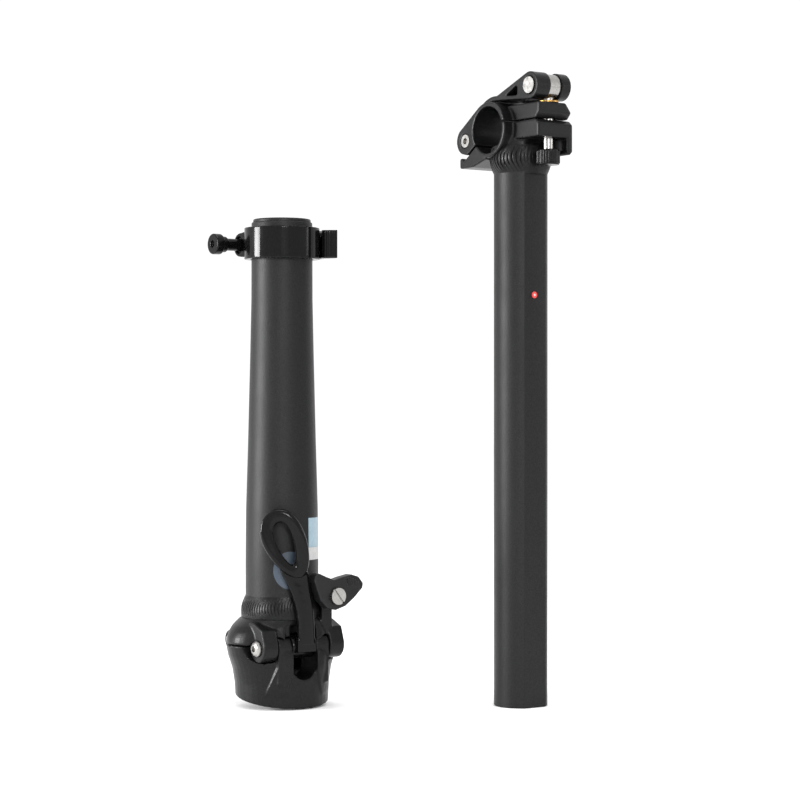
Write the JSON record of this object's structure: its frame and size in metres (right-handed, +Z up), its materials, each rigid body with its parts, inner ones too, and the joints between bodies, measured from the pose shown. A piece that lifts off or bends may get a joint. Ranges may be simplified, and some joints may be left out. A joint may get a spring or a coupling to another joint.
{
  "type": "folding bicycle handlepost",
  "caption": "Telescopic folding handlepost in two halves: a hinged lower tube with loop lever, catch and clamp collar, and an upper tube with a quick-release bar clamp.",
  "frame": {"origin": "on the ground, in the middle of the area that the two halves cover", "axes": "+Z up along both tubes, X along the hinge pins and the handlebar bore, -Y towards the front with the loop lever"},
  "size_m": [0.1586, 0.141, 0.3462],
  "materials": {
    "satin_black": "bead-blasted, satin black anodised",
    "forged_black": "forged, semi-gloss black",
    "gloss_black": "polished, gloss black",
    "black_plastic": "fine-grained black plastic",
    "steel": "bright turned steel",
    "brass": "plain brass",
    "red_paint": "red paint dot"
  },
  "bodies": {
    "base": {"base_forging": "forged_black", "steerer_bolt": "steel", "rear_hinge_pin": "steel", "hinge_washer_left": "black_plastic", "hinge_washer_right": "black_plastic"},
    "lower_post": {"upper_forging": "forged_black", "outer_tube": "satin_black", "guide_sleeve": "black_plastic", "lower_weld_bead": "satin_black", "latch_pin": "steel", "latch_pin_screw_left": "steel", "latch_pin_screw_right": "steel", "catch_screw": "steel", "catch_washer": "steel", "collar_ring": "gloss_black", "collar_bolt": "steel", "collar_pivot_pin": "steel", "nut_washer": "gloss_black"},
    "loop_lever": {"main_lever": "gloss_black"},
    "safety_catch": {"catch": "black_plastic"},
    "clamp_lever": {"collar_lever": "gloss_black"},
    "clamp_nut": {"collar_nut": "gloss_black"},
    "upper_half": {"inner_tube": "satin_black", "limit_mark": "red_paint", "head_weld_bead": "satin_black", "head_saddle": "forged_black", "head_cap": "forged_black", "cap_hinge_pin": "steel", "eye_bolt": "steel", "cross_pin": "steel", "brass_washer": "brass"},
    "bar_lever": {"head_lever": "forged_black"},
    "bar_nut": {"head_nut": "gloss_black"}
  },
  "joints": [
    {"name": "fold", "type": "hinge", "parent": "base", "child": "lower_post", "pos_m": [-0.04625, 0.06495, 0.035], "axis": [-1, 0, 0], "range_deg": [0, 95]},
    {"name": "loop_lever_open", "type": "hinge", "parent": "lower_post", "child": "loop_lever", "pos_m": [-0.04625, 0.02195, 0.034], "axis": [1, 0, 0], "range_deg": [0, 90]},
    {"name": "catch_turn", "type": "hinge", "parent": "lower_post", "child": "safety_catch", "pos_m": [-0.03025, 0.03795, 0.0615], "axis": [0, 1, 0], "range_deg": [0, 40]},
    {"name": "clamp_lever_open", "type": "hinge", "parent": "lower_post", "child": "clamp_lever", "pos_m": [-0.02705, 0.05975, 0.2547], "axis": [0, 0, 1], "range_deg": [0, 150]},
    {"name": "clamp_nut_turn", "type": "hinge", "parent": "lower_post", "child": "clamp_nut", "pos_m": [-0.04625, 0.05975, 0.2547], "axis": [1, 0, 0], "continuous": true},
    {"name": "upper_half_lift", "type": "slide", "parent": "base", "child": "upper_half", "axis": [0, 0, 1], "range_m": [0, 0.28]},
    {"name": "bar_lever_open", "type": "hinge", "parent": "upper_half", "child": "bar_lever", "pos_m": [0.06075, -0.06305, 0.3388], "axis": [1, 0, 0], "range_deg": [0, 150]},
    {"name": "bar_nut_turn", "type": "hinge", "parent": "upper_half", "child": "bar_nut", "pos_m": [0.06075, -0.06305, 0.301], "axis": [0, 0, 1], "continuous": true}
  ]
}
